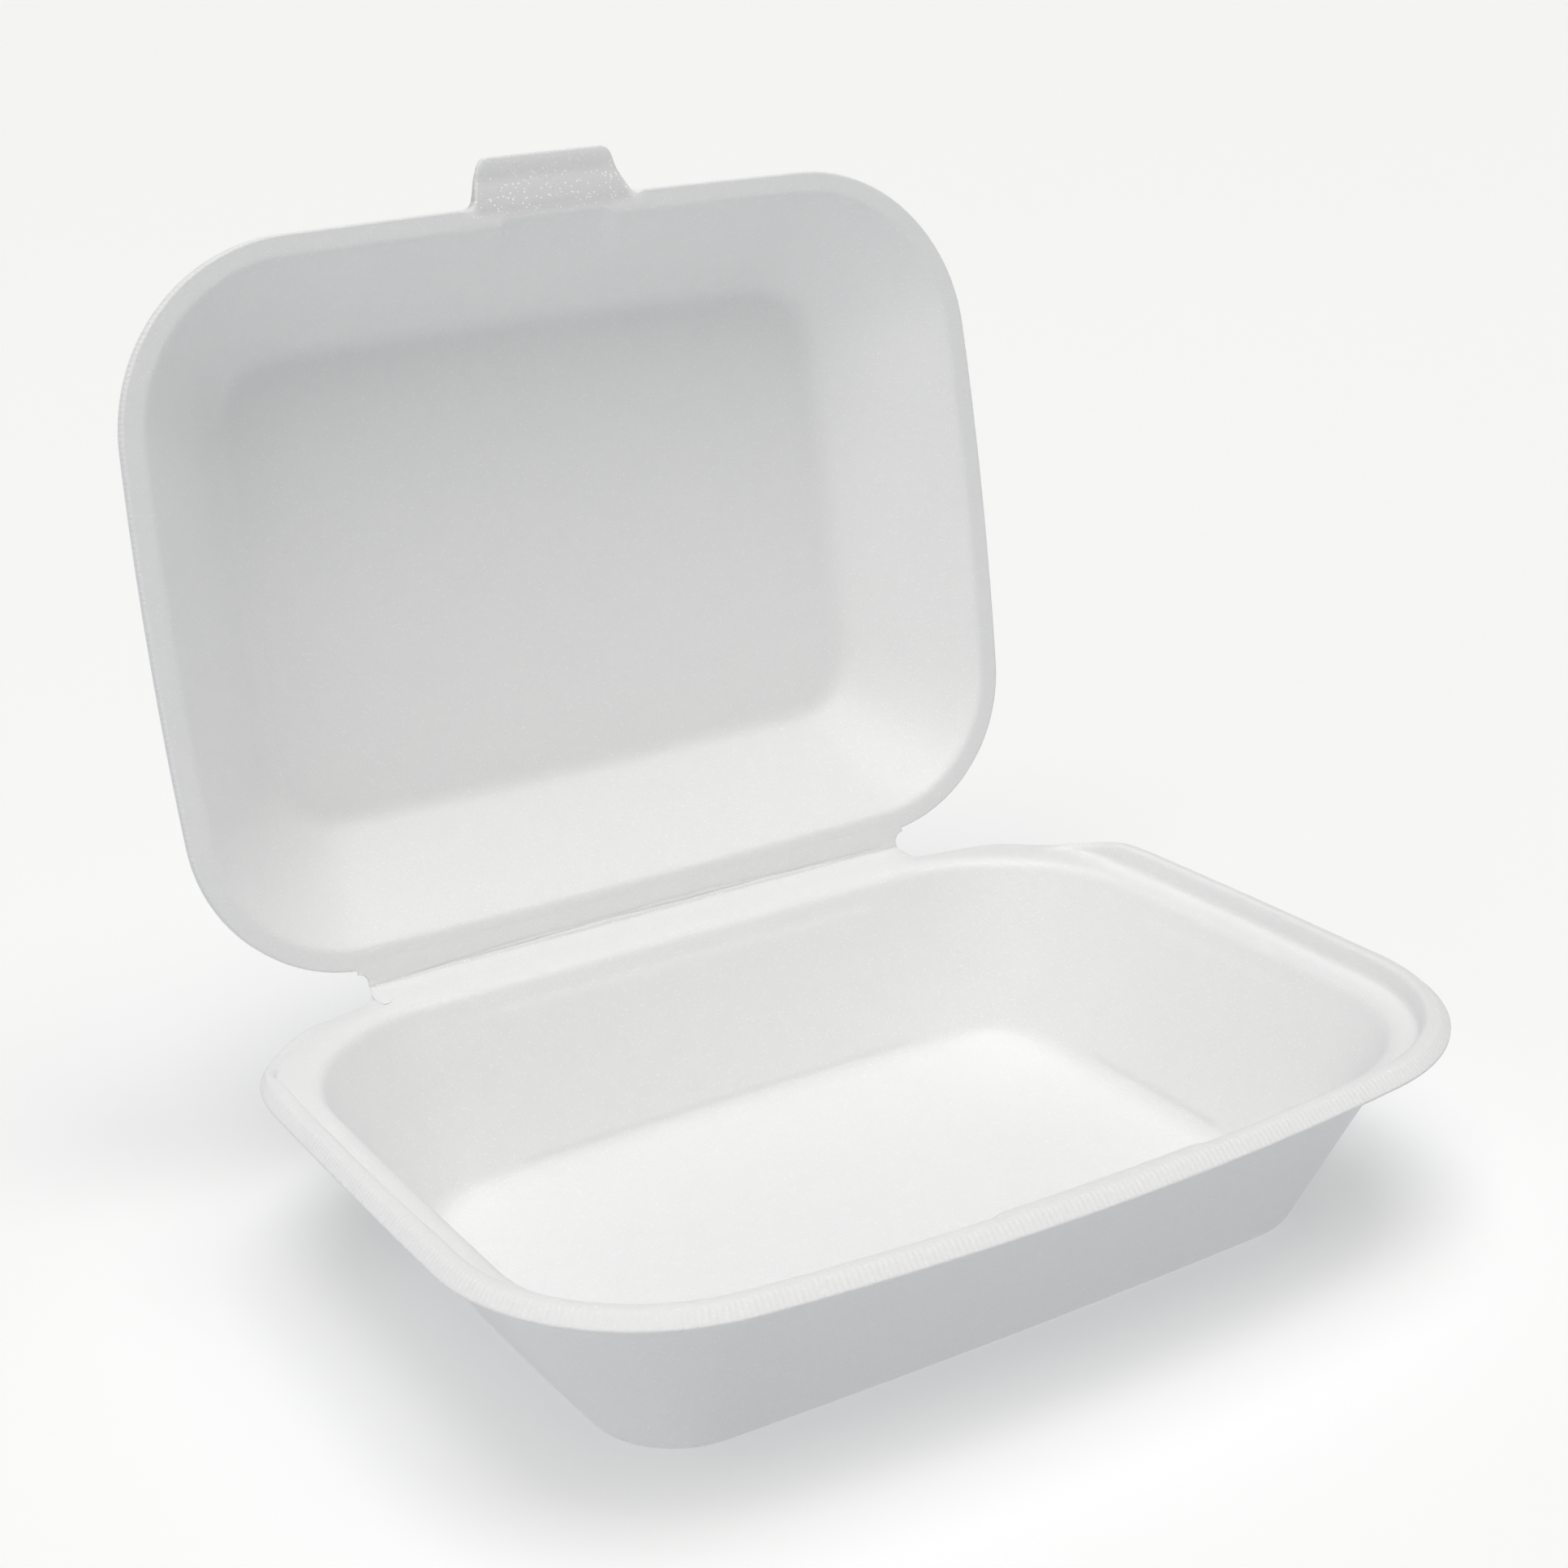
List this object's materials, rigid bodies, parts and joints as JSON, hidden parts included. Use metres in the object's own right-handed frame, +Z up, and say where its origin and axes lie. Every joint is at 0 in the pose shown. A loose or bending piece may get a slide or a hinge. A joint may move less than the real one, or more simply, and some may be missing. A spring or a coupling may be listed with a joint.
{
  "type": "hinged foam food container",
  "caption": "Open foam takeaway box: rounded rectangular tray and a shallower lid joined by a living hinge, with a closing tab on the lid.",
  "frame": {"origin": "on the flat underside of the tray, below the middle of its rim", "axes": "+X along the long side, +Y towards the hinge at the back, +Z up"},
  "size_m": [0.185, 0.1828, 0.1771],
  "materials": {
    "foam": "satin skin of foamed polystyrene"
  },
  "bodies": {
    "tray": {"base": "foam"},
    "cover": {"lid": "foam"}
  },
  "joints": [
    {"name": "lid_hinge", "type": "hinge", "parent": "tray", "child": "cover", "pos_m": [0, 0.0732, 0.0353], "axis": [1, 0, 0], "range_deg": [-82.3, 97.7]}
  ]
}
